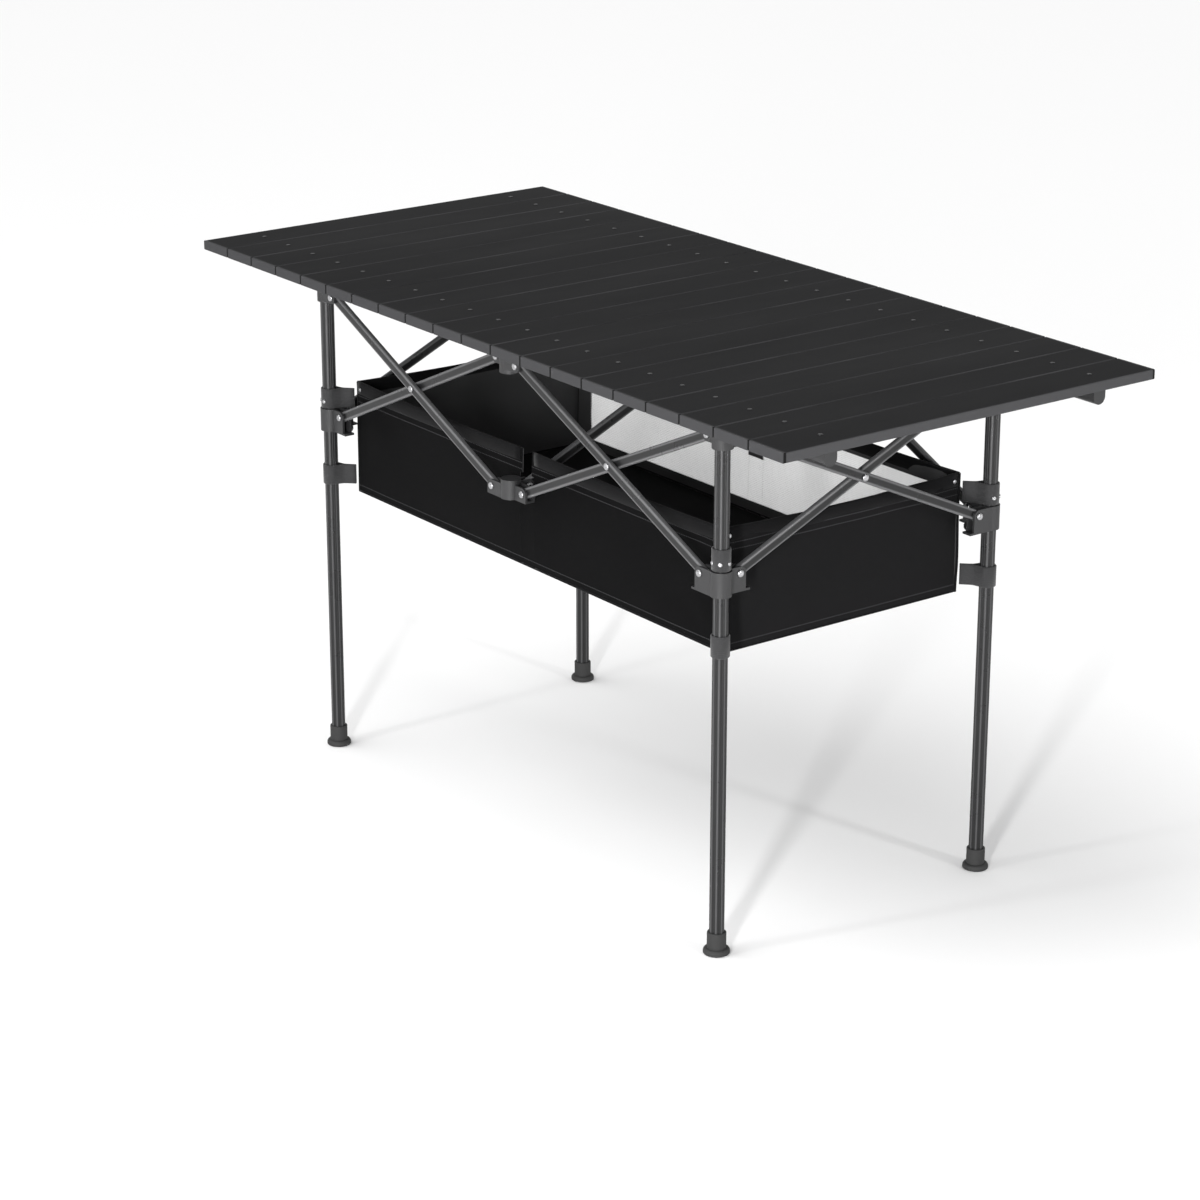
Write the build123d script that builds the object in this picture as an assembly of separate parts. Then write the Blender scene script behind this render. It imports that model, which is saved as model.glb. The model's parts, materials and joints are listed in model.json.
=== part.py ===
from build123d import *
import math
import os

# A roll-top camp kitchen table. A slatted aluminium top lies on two rails, the rails lie on a
# folding scissor frame with four legs, and a fabric storage basket hangs inside the frame.
# Millimetres. X runs along the table, Y across it, Z up. The origin is on the ground, under
# the middle of the top.

# ---- driving dimensions; a depth is measured down from the top of the slats ----
TABLE_LENGTH = 1200
TABLE_WIDTH = 550
TABLE_HEIGHT = 670
SLAT_COUNT = 20
SLATS_IN_GROUP = 2
SLAT_THICK = 12
LEG_X = 410
LEG_Y = 205
TOP_PIVOT_DEPTH = 43
PIVOT_OUT = 26
BAR_LENGTH = 393

# slats
SLAT_PITCH = TABLE_LENGTH / SLAT_COUNT
SLAT_GAP = 0.6
SLAT_WALL = 1.0
SLAT_EDGE_R = 1.6
SLAT_CAP_THICK = 3
SLAT_RIVET_R = 2.6
SLAT_RIVET_TALL = 0.4
SLAT_RIVET_GAP = 0.05

# rails
RAIL_Y = 200
RAIL_WIDE = 18
RAIL_TALL = 19.8
RAIL_LENGTH = 1176
RAIL_WALL = 1.5
RAIL_PLUG = 8
REST_GAP = 0.1

# legs and feet
LEG_R = 9
LEG_WALL = 1.4
LEG_FLUTES = 8
FLUTE_DEEP = 0.45
FLUTE_R = 2.4
LEG_BOTTOM_Z = 4
LEG_IN_CAP = 5
FOOT_R = 16
FOOT_SLEEVE_R = 11.5
FOOT_TALL = 27
FOOT_FLANGE_TALL = 7
FOOT_RIM_R = 1.5
FOOT_SHOULDER_R = 4
FOOT_SOLE_R = 1
FIT_GAP = 0.05

# scissor bars
BAR_TALL = 13
BAR_THICK = 7
BAR_WALL = 1.3
BAR_EDGE_R = 2.2
BAR_OFFSET = 4.2
PIN_R = 2.5
PIN_GAP = 0.08
PIN_HEAD_R = 4.2
PIN_HEAD_TALL = 1.6
SHANK_IN_HEAD = 1

# hubs: caps, sliders and the four middle hubs
SLEEVE_R = 12.5
SLIDE_GAP = 0.35
CAP_TOP = 10.9
CAP_SKIRT = 10
SLIDER_TOP = 8
SLIDER_SKIRT = 22
SLIDER_REACH = 40
CHEEK_R = 8
CHEEK_THICK = 3
CHEEK_GAP = 0.4
WEB_THICK = 2.5
FORK_ROOT = 6
HUB_SKIRT = 14

# basket
BASKET_X = 383
BASKET_Y = 180
BASKET_TOP_DEPTH = 160
BASKET_TALL = 150
FABRIC_THICK = 2.4
PANEL_GAP = 0.5
NOTCH_HALF = 17
NOTCH_TALL = 63
STRAP_THICK = 2
STRAP_GAP = 0.4
STRAP_REACH = 33
STRAP_WIDE = 26
UPPER_STRAP_DEPTH = 170
LOWER_STRAP_DEPTH = 274

# ---- worked-out sizes ----
TOP_PIVOT_Z = TABLE_HEIGHT - TOP_PIVOT_DEPTH
BASKET_TOP_Z = TABLE_HEIGHT - BASKET_TOP_DEPTH
BASKET_FLOOR_Z = BASKET_TOP_Z - BASKET_TALL
NOTCH_Z = BASKET_TOP_Z - NOTCH_TALL
HUB_DEPTH = CHEEK_R + WEB_THICK
HUB_REACH = PIVOT_OUT + CHEEK_R
RUN = 2 * LEG_Y - 2 * PIVOT_OUT
RISE = math.sqrt(BAR_LENGTH**2 - RUN**2)
LOW_PIVOT_Z = TOP_PIVOT_Z - RISE
SLAT_BOTTOM_Z = TABLE_HEIGHT - SLAT_THICK
UP = Vector(0, 0, 1)

CORNERS = {
    "front_left": Vector(-LEG_X, -LEG_Y, 0),
    "front_right": Vector(LEG_X, -LEG_Y, 0),
    "back_right": Vector(LEG_X, LEG_Y, 0),
    "back_left": Vector(-LEG_X, LEG_Y, 0),
}
MIDDLES = {
    "front_middle": Vector(0, -LEG_Y, 0),
    "back_middle": Vector(0, LEG_Y, 0),
}
STATIONS = CORNERS | MIDDLES

# Each scissor pair, seen from outside its face of the frame: the station at its left, the
# station at its right, and the outward normal of the face. The bar that runs down to the right
# lies in the outer plane and the bar that runs up to the right in the inner one.
PAIRS = {
    "front_1": ("front_left", "front_middle", Vector(0, -1, 0)),
    "front_2": ("front_middle", "front_right", Vector(0, -1, 0)),
    "right": ("front_right", "back_right", Vector(1, 0, 0)),
    "back_1": ("back_right", "back_middle", Vector(0, 1, 0)),
    "back_2": ("back_middle", "back_left", Vector(0, 1, 0)),
    "left": ("back_left", "front_left", Vector(-1, 0, 0)),
    "middle": ("front_middle", "back_middle", Vector(1, 0, 0)),
}


def box_between(low, high):
    """A box from its lowest and highest corners."""
    size = [h - l for l, h in zip(low, high)]
    centre = [(h + l) / 2 for l, h in zip(low, high)]
    return Pos(*centre) * Box(*size)


def upright(radius, low, high, centre=(0, 0)):
    """A vertical cylinder between two heights."""
    return Pos(centre[0], centre[1], (low + high) / 2) * Cylinder(radius, high - low)


def rivet(grip):
    """A pivot rivet along Z whose shank is the given length between its two heads."""
    shank = Cylinder(PIN_R, grip + 2 * SHANK_IN_HEAD)
    head = Cylinder(PIN_HEAD_R, PIN_HEAD_TALL)
    head = fillet(head.edges().sort_by(Axis.Z)[-1], PIN_HEAD_TALL * 0.6)
    top = Pos(0, 0, grip / 2 + PIN_HEAD_TALL / 2) * head
    bottom = Rot(180, 0, 0) * top
    return shank + top + bottom


def scissor_bar(rivet_side):
    """A flat-oval tube with closed ends along X, centred on its middle pivot. Z is the outward
    normal. The outer bar of a pair also carries the middle rivet."""
    outer = extrude(SlotCenterToCenter(BAR_LENGTH, BAR_TALL), BAR_THICK / 2, both=True)
    outer = fillet(outer.faces().filter_by(Axis.Z).edges(), BAR_EDGE_R)
    inner_tall = BAR_TALL - 2 * BAR_WALL
    inner = extrude(
        SlotCenterToCenter(BAR_LENGTH, inner_tall), BAR_THICK / 2 - BAR_WALL, both=True
    )
    bar = outer - inner
    for x in (-BAR_LENGTH / 2, 0, BAR_LENGTH / 2):
        bar -= Pos(x, 0, 0) * Cylinder(PIN_R + PIN_GAP, 2 * BAR_THICK)
    pieces = [bar]
    if rivet_side:
        grip = 2 * BAR_OFFSET + BAR_THICK + 4 * PIN_GAP
        pieces.append(Pos(0, 0, -rivet_side * BAR_OFFSET) * rivet(grip))
    return pieces


def fork(direction, normal, offset, web_side, depth, reach):
    """One socket of a hub, at the hub's pivot height: two cheeks that hold a bar's end, and the
    web that joins them. The web is above the bar for web_side 1 and below it for -1. Its far
    face is the given depth from the pivot and it runs out to the given reach."""
    half = BAR_THICK / 2 + CHEEK_GAP
    plane = Plane(origin=normal * offset, x_dir=direction, z_dir=normal)
    web_sign = web_side if plane.y_dir.Z > 0 else -web_side
    flank = Pos((FORK_ROOT + PIVOT_OUT) / 2, 0) * Rectangle(PIVOT_OUT - FORK_ROOT, 2 * CHEEK_R)
    flank += Pos(PIVOT_OUT, 0) * Circle(CHEEK_R)
    brow_tall = depth + CHEEK_R / 2
    brow_long = HUB_REACH - FORK_ROOT
    brow_y = web_sign * (depth - brow_tall / 2)
    flank += Pos(FORK_ROOT + brow_long / 2, brow_y) * Rectangle(brow_long, brow_tall)
    cheek = extrude(flank, CHEEK_THICK)
    cheek -= Pos(PIVOT_OUT, 0, 0) * Cylinder(PIN_R, 4 * CHEEK_THICK)
    web_long = reach - FORK_ROOT
    web_y = web_sign * (depth - WEB_THICK / 2)
    solid = Pos(0, 0, half) * cheek + Pos(0, 0, -half - CHEEK_THICK) * cheek
    web = Box(web_long, WEB_THICK, 2 * (half + CHEEK_THICK))
    solid += Pos(FORK_ROOT + web_long / 2, web_y, 0) * web
    pin = Pos(PIVOT_OUT, 0, 0) * rivet(2 * (half + CHEEK_THICK))
    return plane * solid, plane * pin


def sockets_of(station):
    """(direction, normal, upper offset, lower offset) for each socket at a station: the bar at
    the upper hub and the bar at the lower hub lie in different planes."""
    found = []
    for left, right, normal in PAIRS.values():
        across = (STATIONS[right] - STATIONS[left]).normalized()
        if station == left:
            found.append((across, normal, BAR_OFFSET, -BAR_OFFSET))
        if station == right:
            found.append((-across, normal, -BAR_OFFSET, BAR_OFFSET))
    return found


def web_between(sockets, low, high):
    """The curved flange that fills the corners between neighbouring sockets."""
    reach = PIVOT_OUT + CHEEK_R / 2
    disc = upright(reach, low, high)
    kept = None
    for a, first in enumerate(sockets):
        for second in sockets[a + 1 :]:
            if abs(first[0].dot(second[0])) > 0.5:
                continue
            middle = (first[0] + second[0]) * (reach / 2)
            quarter = Pos(middle.X, middle.Y, (low + high) / 2) * Box(reach, reach, high - low)
            quarter = disc & quarter
            kept = quarter if kept is None else kept + quarter
    return kept


def hub(station, upper):
    """A hub at a station: a corner cap or slider, or an upper or lower middle hub. Returns the
    moulded body and its pivot rivets, at the hub's place."""
    web_side = 1 if upper else -1
    corner = station in CORNERS
    slider = corner and not upper
    depth = SLIDER_SKIRT if slider else HUB_DEPTH
    reach = SLIDER_REACH if slider else HUB_REACH
    sockets = sockets_of(station)
    low_web, high_web = sorted((web_side * (depth - WEB_THICK), web_side * depth))
    body = web_between(sockets, low_web, high_web)
    if slider:
        body += upright(SLEEVE_R, -SLIDER_SKIRT, SLIDER_TOP)
    elif corner:
        body += upright(SLEEVE_R, -CAP_SKIRT, CAP_TOP)
    else:
        body += upright(SLEEVE_R, *sorted((-web_side * HUB_SKIRT, web_side * HUB_DEPTH)))
    pins = []
    for direction, normal, upper_offset, lower_offset in sockets:
        offset = upper_offset if upper else lower_offset
        solid, pin = fork(direction, normal, offset, web_side, depth, reach)
        body += solid
        pins.append(pin)
    if slider:
        body -= upright(LEG_R + SLIDE_GAP, -SLIDER_SKIRT - 1, SLIDER_TOP + 1)
    elif corner:
        body -= upright(LEG_R + FIT_GAP, -CAP_SKIRT - 1, LEG_IN_CAP)
    place = STATIONS[station]
    height = TOP_PIVOT_Z if upper else LOW_PIVOT_Z
    return [Pos(place.X, place.Y, height) * piece for piece in [body, *pins]]


def leg_section():
    """A round tube with shallow flutes along it."""
    outer = Circle(LEG_R)
    for k in range(LEG_FLUTES):
        angle = math.radians(360 / LEG_FLUTES * (k + 0.5))
        away = LEG_R + FLUTE_R - FLUTE_DEEP
        outer -= Pos(away * math.cos(angle), away * math.sin(angle)) * Circle(FLUTE_R)
    return outer - Circle(LEG_R - LEG_WALL - FLUTE_DEEP)


def leg(corner):
    top = TOP_PIVOT_Z + LEG_IN_CAP
    tube = extrude(leg_section(), top - LEG_BOTTOM_Z)
    return [Pos(corner.X, corner.Y, LEG_BOTTOM_Z) * tube]


def foot(corner):
    """A rubber foot with a rounded flange, pushed on to the leg."""
    sleeve = upright(FOOT_SLEEVE_R, 0, FOOT_TALL)
    sleeve = fillet(sleeve.edges().sort_by(Axis.Z)[-1], FOOT_RIM_R)
    flange = upright(FOOT_R, 0, FOOT_FLANGE_TALL)
    flange = fillet(flange.edges().sort_by(Axis.Z)[-1], FOOT_SHOULDER_R)
    flange = fillet(flange.edges().sort_by(Axis.Z)[0], FOOT_SOLE_R)
    body = sleeve + flange - upright(LEG_R + FIT_GAP, LEG_BOTTOM_Z, FOOT_TALL + 1)
    return [Pos(corner.X, corner.Y, 0) * body]


def slat_section():
    """A hollow box section with rounded top edges and two stiffening ribs."""
    wide = SLAT_PITCH - SLAT_GAP
    outer = RectangleRounded(wide, SLAT_THICK, SLAT_EDGE_R)
    inner_tall = SLAT_THICK - 2 * SLAT_WALL
    cell = (wide - 4 * SLAT_WALL) / 3
    for k in (-1, 0, 1):
        outer -= Pos(k * (cell + SLAT_WALL), 0) * Rectangle(cell, inner_tall)
    return outer


def slat(index):
    """A slat, its two moulded end caps and its two rivet heads, which lie flush in its top."""
    x = -TABLE_LENGTH / 2 + SLAT_PITCH * (index + 0.5)
    z = TABLE_HEIGHT - SLAT_THICK / 2
    length = TABLE_WIDTH - 2 * SLAT_CAP_THICK
    across = Plane(origin=(x, -length / 2, z), x_dir=(-1, 0, 0), z_dir=(0, 1, 0))
    body = across * extrude(slat_section(), length)
    head_low = TABLE_HEIGHT - SLAT_RIVET_TALL
    pieces = []
    end = RectangleRounded(SLAT_PITCH - SLAT_GAP, SLAT_THICK, SLAT_EDGE_R)
    for side in (-1, 1):
        y = -TABLE_WIDTH / 2 if side < 0 else TABLE_WIDTH / 2 - SLAT_CAP_THICK
        plane = Plane(origin=(x, y, z), x_dir=(-1, 0, 0), z_dir=(0, 1, 0))
        pieces.append(plane * extrude(end, SLAT_CAP_THICK))
        seat = (x, side * RAIL_Y)
        body -= upright(SLAT_RIVET_R + SLAT_RIVET_GAP, head_low, TABLE_HEIGHT + 1, seat)
        pieces.append(upright(SLAT_RIVET_R, head_low + SLAT_RIVET_GAP, TABLE_HEIGHT, seat))
    return [body, *pieces]


def rail(side):
    """A round-bottomed rail under the slats, closed by a plug at each end."""
    high = SLAT_BOTTOM_Z - REST_GAP
    low = high - RAIL_TALL
    radius = RAIL_WIDE / 2
    outer = Pos(0, radius) * Circle(radius) + Pos(0, (RAIL_TALL + radius) / 2) * Rectangle(
        RAIL_WIDE, RAIL_TALL - radius
    )
    inner_r = radius - RAIL_WALL
    inner_tall = RAIL_TALL - RAIL_WALL - radius
    inner = Pos(0, radius) * Circle(inner_r)
    inner += Pos(0, radius + inner_tall / 2) * Rectangle(2 * inner_r, inner_tall)
    plane = Plane(
        origin=(-RAIL_LENGTH / 2, side * RAIL_Y, low), x_dir=(0, 1, 0), z_dir=(1, 0, 0)
    )
    tube = extrude(outer, RAIL_LENGTH)
    tube -= Pos(0, 0, RAIL_PLUG) * extrude(inner, RAIL_LENGTH - 2 * RAIL_PLUG)
    drain = Pos(0, RAIL_TALL - RAIL_WALL, RAIL_PLUG * 3) * Rot(90, 0, 0) * Cylinder(PIN_R, 6 * RAIL_WALL)
    return [plane * (tube - drain)]


def basket_wall_long(side):
    """The front or back wall of the basket, notched at its middle for the cross-wise bars."""
    inner = BASKET_Y - FABRIC_THICK
    low_y, high_y = sorted((side * inner, side * BASKET_Y))
    wall = box_between((-BASKET_X, low_y, BASKET_FLOOR_Z), (BASKET_X, high_y, BASKET_TOP_Z))
    wall -= box_between(
        (-NOTCH_HALF, low_y - 1, NOTCH_Z), (NOTCH_HALF, high_y + 1, BASKET_TOP_Z + 1)
    )
    return [wall]


def basket_wall_short(side):
    """The left or right wall of the basket."""
    low_x, high_x = sorted((side * (BASKET_X - FABRIC_THICK), side * BASKET_X))
    reach = BASKET_Y - FABRIC_THICK - PANEL_GAP
    return [box_between((low_x, -reach, BASKET_FLOOR_Z), (high_x, reach, BASKET_TOP_Z))]


def basket_floor(side):
    """The front or back half of the floor, which creases along its middle when it folds."""
    reach_x = BASKET_X - FABRIC_THICK - PANEL_GAP
    reach_y = BASKET_Y - FABRIC_THICK - PANEL_GAP
    low_y, high_y = sorted((side * PANEL_GAP, side * reach_y))
    low = (-reach_x, low_y, BASKET_FLOOR_Z)
    return [box_between(low, (reach_x, high_y, BASKET_FLOOR_Z + FABRIC_THICK))]


def corner_straps(corner):
    """The upper and lower webbing loops round a leg, each with its strap to the basket."""
    inward = Vector(-math.copysign(1, corner.X), -math.copysign(1, corner.Y), 0).normalized()
    turn = math.degrees(math.atan2(inward.Y, inward.X))
    inner_r = LEG_R + STRAP_GAP
    outer_r = inner_r + STRAP_THICK
    pieces = []
    for depth in (UPPER_STRAP_DEPTH, LOWER_STRAP_DEPTH):
        high = TABLE_HEIGHT - depth
        low = high - STRAP_WIDE
        ring = upright(outer_r, low, high)
        band = box_between((inner_r, -STRAP_THICK, low), (STRAP_REACH, STRAP_THICK, high))
        loop = ring + Rot(0, 0, turn) * band - upright(inner_r, low - 1, high + 1)
        pieces.append(Pos(corner.X, corner.Y, 0) * loop)
    return pieces


def pair_bars(name):
    """The two bars of a scissor pair, at their places."""
    left, right, normal = PAIRS[name]
    across = (STATIONS[right] - STATIONS[left]).normalized()
    span = (STATIONS[right] - STATIONS[left]).length - 2 * PIVOT_OUT
    centre = (STATIONS[left] + STATIONS[right]) * 0.5 + UP * (TOP_PIVOT_Z + LOW_PIVOT_Z) / 2
    bars = {}
    for lean, side, sign in (("down", 1, -1), ("up", -1, 1)):
        along = (across * span + UP * (sign * RISE)).normalized()
        plane = Plane(origin=centre + normal * (side * BAR_OFFSET), x_dir=along, z_dir=normal)
        carries = side if lean == "down" else 0
        bars[f"bar_{name}_{lean}"] = [plane * piece for piece in scissor_bar(carries)]
    return bars


def build_nodes():
    nodes = {}
    for name, corner in CORNERS.items():
        nodes[f"leg_{name}"] = leg(corner)
        nodes[f"foot_{name}"] = foot(corner)
        nodes[f"leg_cap_{name}"] = hub(name, upper=True)
        nodes[f"slider_{name}"] = hub(name, upper=False)
        nodes[f"basket_straps_{name}"] = corner_straps(corner)
    for name in MIDDLES:
        nodes[f"upper_hub_{name}"] = hub(name, upper=True)
        nodes[f"lower_hub_{name}"] = hub(name, upper=False)
    for name in PAIRS:
        nodes |= pair_bars(name)
    for side, word in ((-1, "front"), (1, "back")):
        nodes[f"rail_{word}"] = rail(side)
        nodes[f"basket_{word}"] = basket_wall_long(side)
        nodes[f"basket_floor_{word}"] = basket_floor(side)
    for side, word in ((-1, "left"), (1, "right")):
        nodes[f"basket_{word}"] = basket_wall_short(side)
    for group in range(SLAT_COUNT // SLATS_IN_GROUP):
        first = group * SLATS_IN_GROUP
        pieces = [p for k in range(SLATS_IN_GROUP) for p in slat(first + k)]
        nodes[f"slats_{group + 1:02d}"] = pieces
    return nodes


def main():
    os.makedirs("parts", exist_ok=True)
    nodes = build_nodes()
    for name, pieces in nodes.items():
        solids = [s for piece in pieces for s in piece.solids()]
        shape = solids[0] if len(solids) == 1 else Compound(children=solids)
        export_step(shape, f"parts/{name}.step")
    print(len(nodes), "nodes")


main()
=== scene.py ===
import json
import math

import bpy
from mathutils import Matrix, Vector, noise


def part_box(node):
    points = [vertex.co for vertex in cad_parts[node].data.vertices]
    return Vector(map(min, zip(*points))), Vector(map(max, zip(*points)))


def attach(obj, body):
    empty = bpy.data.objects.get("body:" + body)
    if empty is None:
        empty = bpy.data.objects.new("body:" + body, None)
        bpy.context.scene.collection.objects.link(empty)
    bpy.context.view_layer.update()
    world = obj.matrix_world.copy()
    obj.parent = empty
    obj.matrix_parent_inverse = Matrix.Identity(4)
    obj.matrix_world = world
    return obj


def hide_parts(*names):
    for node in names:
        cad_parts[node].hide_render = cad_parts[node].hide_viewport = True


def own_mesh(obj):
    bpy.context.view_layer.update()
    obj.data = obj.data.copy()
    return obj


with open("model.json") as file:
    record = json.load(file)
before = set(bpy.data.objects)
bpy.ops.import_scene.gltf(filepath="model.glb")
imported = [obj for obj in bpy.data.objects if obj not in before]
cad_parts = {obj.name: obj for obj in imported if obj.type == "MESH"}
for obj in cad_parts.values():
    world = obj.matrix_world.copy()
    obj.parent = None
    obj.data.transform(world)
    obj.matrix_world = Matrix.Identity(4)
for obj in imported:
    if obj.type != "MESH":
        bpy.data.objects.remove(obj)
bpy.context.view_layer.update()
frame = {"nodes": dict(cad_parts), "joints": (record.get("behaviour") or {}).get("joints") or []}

# A roll-top camp kitchen table. Metres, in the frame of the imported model: X along the table,
# Y across it, Z up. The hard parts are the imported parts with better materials. The basket, its
# straps and the rivet heads are made here.

NODES = frame["nodes"]
JOINTS = {j["name"]: j for j in frame["joints"]}


def middle_of(node):
    low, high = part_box(node)
    return (low + high) / 2


# ---- places, read from the frame ----
LEG_X = abs(middle_of("leg_front_left").x)
LEG_Y = abs(middle_of("leg_front_left").y)
TOP_PIVOT_Z = JOINTS["frame_fold"]["pos_m"][2]
LOW_PIVOT_Z = JOINTS["front_1_down_to_lower_hub"]["pos_m"][2]
PIVOT_OUT = LEG_X - abs(JOINTS["frame_fold"]["pos_m"][0])
RAIL_Y = abs(middle_of("rail_front").y)
SLAT_END_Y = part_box("slats_01")[1].y
END_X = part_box("slats_10")[1].x
BASKET_LOW, BASKET_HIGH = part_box("basket_front")
BASKET_X = BASKET_HIGH.x
BASKET_Y = abs(BASKET_LOW.y)
RIM_Z = BASKET_HIGH.z
FLOOR_Z = BASKET_LOW.z

# ---- sizes of the frame and the top ----
# The two bars of a pair lie this far to either side of the pair's middle plane.
BAR_OFFSET = 0.0042
# A bar's painted edge highlights begin and are full at these distances from its middle line.
BAR_EDGE_FROM, BAR_EDGE_TO = 0.0028, 0.0046
# A rivet head starts this far from its bar's middle in a socket, and from the pair's at a crossing.
SOCKET_FACE = 0.0069
CROSS_FACE = 0.00786
HEAD_R, HEAD_TALL = 0.0045, 0.00195
LEG_FLUTES = 8
SLAT_PITCH = 0.060
SLAT_THICK = 0.012
SLAT_CAP = 0.0031
SLAT_HEAD_R, SLAT_HEAD_TALL = 0.0029, 0.0007
SLAT_HEAD_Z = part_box("rail_front")[1].z + SLAT_THICK + 0.0001
# Shares of a slat's pitch, from each seam: the painted highlight along the seam, and the painted
# shade on an end cap at the gap between caps.
SEAM_HIGHLIGHT_SHARE, CAP_SHADE_SHARE = 0.031, 0.024

# ---- sizes of the basket ----
CLOTH = 0.0012
# Inward from the basket's outer faces: a wall's middle, an end wall's two ends, the floor's edges.
WALL_IN = 0.0012
WALL_ROOM = 0.0026
FLOOR_ROOM = 0.0028
WALL_STEPS = 18
LONG_BOW, SHORT_BOW = 0.002, 0.0025
LONG_SAG, SHORT_SAG = 0.0028, 0.004
FOLD_TALL, WAVE_TALL = 0.0011, 0.0014
PIPING_Z = FLOOR_Z + 0.0008
# The keyhole notch: half its width below and above the neck, then the heights of foot and neck.
NOTCH_HALF = 0.0145
NOTCH_NECK = 0.0095
NOTCH_Z = RIM_Z - 0.063
NECK_Z = RIM_Z - 0.031
# half of the gap between the floor's two halves
FLOOR_CREASE = 0.0003
FLOOR_SAG = 0.0032
FLOOR_WAVE = 0.0006
STITCH_ROWS = (RIM_Z - 0.019, RIM_Z - 0.027, FLOOR_Z + 0.009)
STITCH_HALF = 0.00045
STITCH_PITCH = 0.0032
CANVAS_PITCH = 0.0011
SHARP_FROM = math.radians(40)

ANODISED = (0.013, 0.013, 0.0135)
# Inner faces of the walls: a greyer lining, painted lighter still to stand in for light inside the
# basket's shade.
LIT_LINING = (0.05, 0.05, 0.051)
X_AXIS, Y_AXIS, Z_AXIS = Vector((1, 0, 0)), Vector((0, 1, 0)), Vector((0, 0, 1))

STATIONS = {
    "front_left": Vector((-LEG_X, -LEG_Y, 0)),
    "front_right": Vector((LEG_X, -LEG_Y, 0)),
    "back_right": Vector((LEG_X, LEG_Y, 0)),
    "back_left": Vector((-LEG_X, LEG_Y, 0)),
    "front_middle": Vector((0, -LEG_Y, 0)),
    "back_middle": Vector((0, LEG_Y, 0)),
}
CORNERS = [name for name in STATIONS if "middle" not in name]
PAIRS = {
    "front_1": ("front_left", "front_middle", Vector((0, -1, 0))),
    "front_2": ("front_middle", "front_right", Vector((0, -1, 0))),
    "right": ("front_right", "back_right", Vector((1, 0, 0))),
    "back_1": ("back_right", "back_middle", Vector((0, 1, 0))),
    "back_2": ("back_middle", "back_left", Vector((0, 1, 0))),
    "left": ("back_left", "front_left", Vector((-1, 0, 0))),
    "middle": ("front_middle", "back_middle", Vector((1, 0, 0))),
}


# ---- materials ----
class Paint:
    """A procedural material: a Principled shader and the nodes that feed it."""

    def __init__(self, name, colour, rough, metallic=0.0, specular=0.5, **sockets):
        self.material = bpy.data.materials.new(name)
        self.material.use_nodes = True
        tree = self.material.node_tree
        self.nodes, self.links = tree.nodes, tree.links
        self.shader = self.nodes["Principled BSDF"]
        self.colour, self.rough = colour, rough
        self.set("Base Color", (*colour, 1))
        self.set("Roughness", rough)
        self.set("Metallic", metallic)
        self.set("Specular IOR Level", specular)
        for socket, value in sockets.items():
            self.set(socket.replace("_", " "), value)
        coordinates = self.nodes.new("ShaderNodeTexCoord")
        self.place = coordinates.outputs["Object"]
        self.height = None

    def set(self, socket, value):
        self.shader.inputs[socket].default_value = value

    def feed(self, socket, value):
        self.links.new(value, self.shader.inputs[socket])

    def stretched(self, scale):
        mapping = self.nodes.new("ShaderNodeMapping")
        mapping.inputs["Scale"].default_value = scale
        self.links.new(self.place, mapping.inputs["Vector"])
        return mapping.outputs["Vector"]

    def math(self, operation, a, b=None):
        node = self.nodes.new("ShaderNodeMath")
        node.operation = operation
        for k, value in enumerate((a, b)):
            if value is None:
                continue
            if isinstance(value, (int, float)):
                node.inputs[k].default_value = value
            else:
                self.links.new(value, node.inputs[k])
        return node.outputs[0]

    def noise(self, scale, stretch=(1, 1, 1), detail=3.0, roughness=0.6):
        node = self.nodes.new("ShaderNodeTexNoise")
        node.inputs["Scale"].default_value = scale
        node.inputs["Detail"].default_value = detail
        node.inputs["Roughness"].default_value = roughness
        self.links.new(self.stretched(stretch), node.inputs["Vector"])
        return node.outputs["Fac"]

    def mapped(self, value, low, high, from_low=0.3, from_high=0.7):
        node = self.nodes.new("ShaderNodeMapRange")
        for socket, number in (
            ("From Min", from_low), ("From Max", from_high), ("To Min", low), ("To Max", high)
        ):
            node.inputs[socket].default_value = number
        self.links.new(value, node.inputs["Value"])
        return node.outputs["Result"]

    def mixed(self, factor, first, second):
        node = self.nodes.new("ShaderNodeMix")
        node.data_type = "RGBA"
        # a Mix node's colours are inputs 6 and 7, and output 2
        self.links.new(factor, node.inputs["Factor"])
        for socket, value in ((node.inputs[6], first), (node.inputs[7], second)):
            if isinstance(value, tuple):
                socket.default_value = (*value, 1)
            else:
                self.links.new(value, socket)
        return node.outputs[2]

    def vary_colour(self, factor, dark, light):
        scaled = [tuple(c * share for c in self.colour) for share in (dark, light)]
        result = self.mixed(factor, *scaled)
        self.feed("Base Color", result)
        return result

    def vary_rough(self, factor, spread):
        value = self.mapped(factor, self.rough - spread, self.rough + spread)
        self.feed("Roughness", value)

    def bump(self, height, distance, strength=1.0):
        node = self.nodes.new("ShaderNodeBump")
        node.inputs["Distance"].default_value = distance
        node.inputs["Strength"].default_value = strength
        self.links.new(height, node.inputs["Height"])
        if self.height is not None:
            self.links.new(self.height, node.inputs["Normal"])
        self.height = node.outputs["Normal"]
        self.feed("Normal", self.height)

    def axis(self, name):
        node = self.nodes.new("ShaderNodeSeparateXYZ")
        self.links.new(self.place, node.inputs[0])
        return node.outputs[name]

    def inward(self, name):
        """1 on the faces of an upright wall that look into the basket, by their normal."""
        normal = self.nodes.new("ShaderNodeNewGeometry").outputs["Normal"]
        parts = self.nodes.new("ShaderNodeSeparateXYZ")
        self.links.new(normal, parts.inputs[0])
        outward = self.math("MULTIPLY", parts.outputs[name], self.axis(name))
        return self.math("LESS_THAN", outward, 0.0)

    def weave(self, pitch, first, second):
        """Over-and-under threads of a plain weave, from 0 between threads to 1 on them."""
        waves = []
        for name in (first, second):
            turns = self.math("MULTIPLY", self.axis(name), 2 * math.pi / pitch)
            waves.append(self.math("SINE", turns))
        product = self.math("MULTIPLY", *waves)
        return self.mapped(product, 0, 1, -1, 1)


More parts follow.
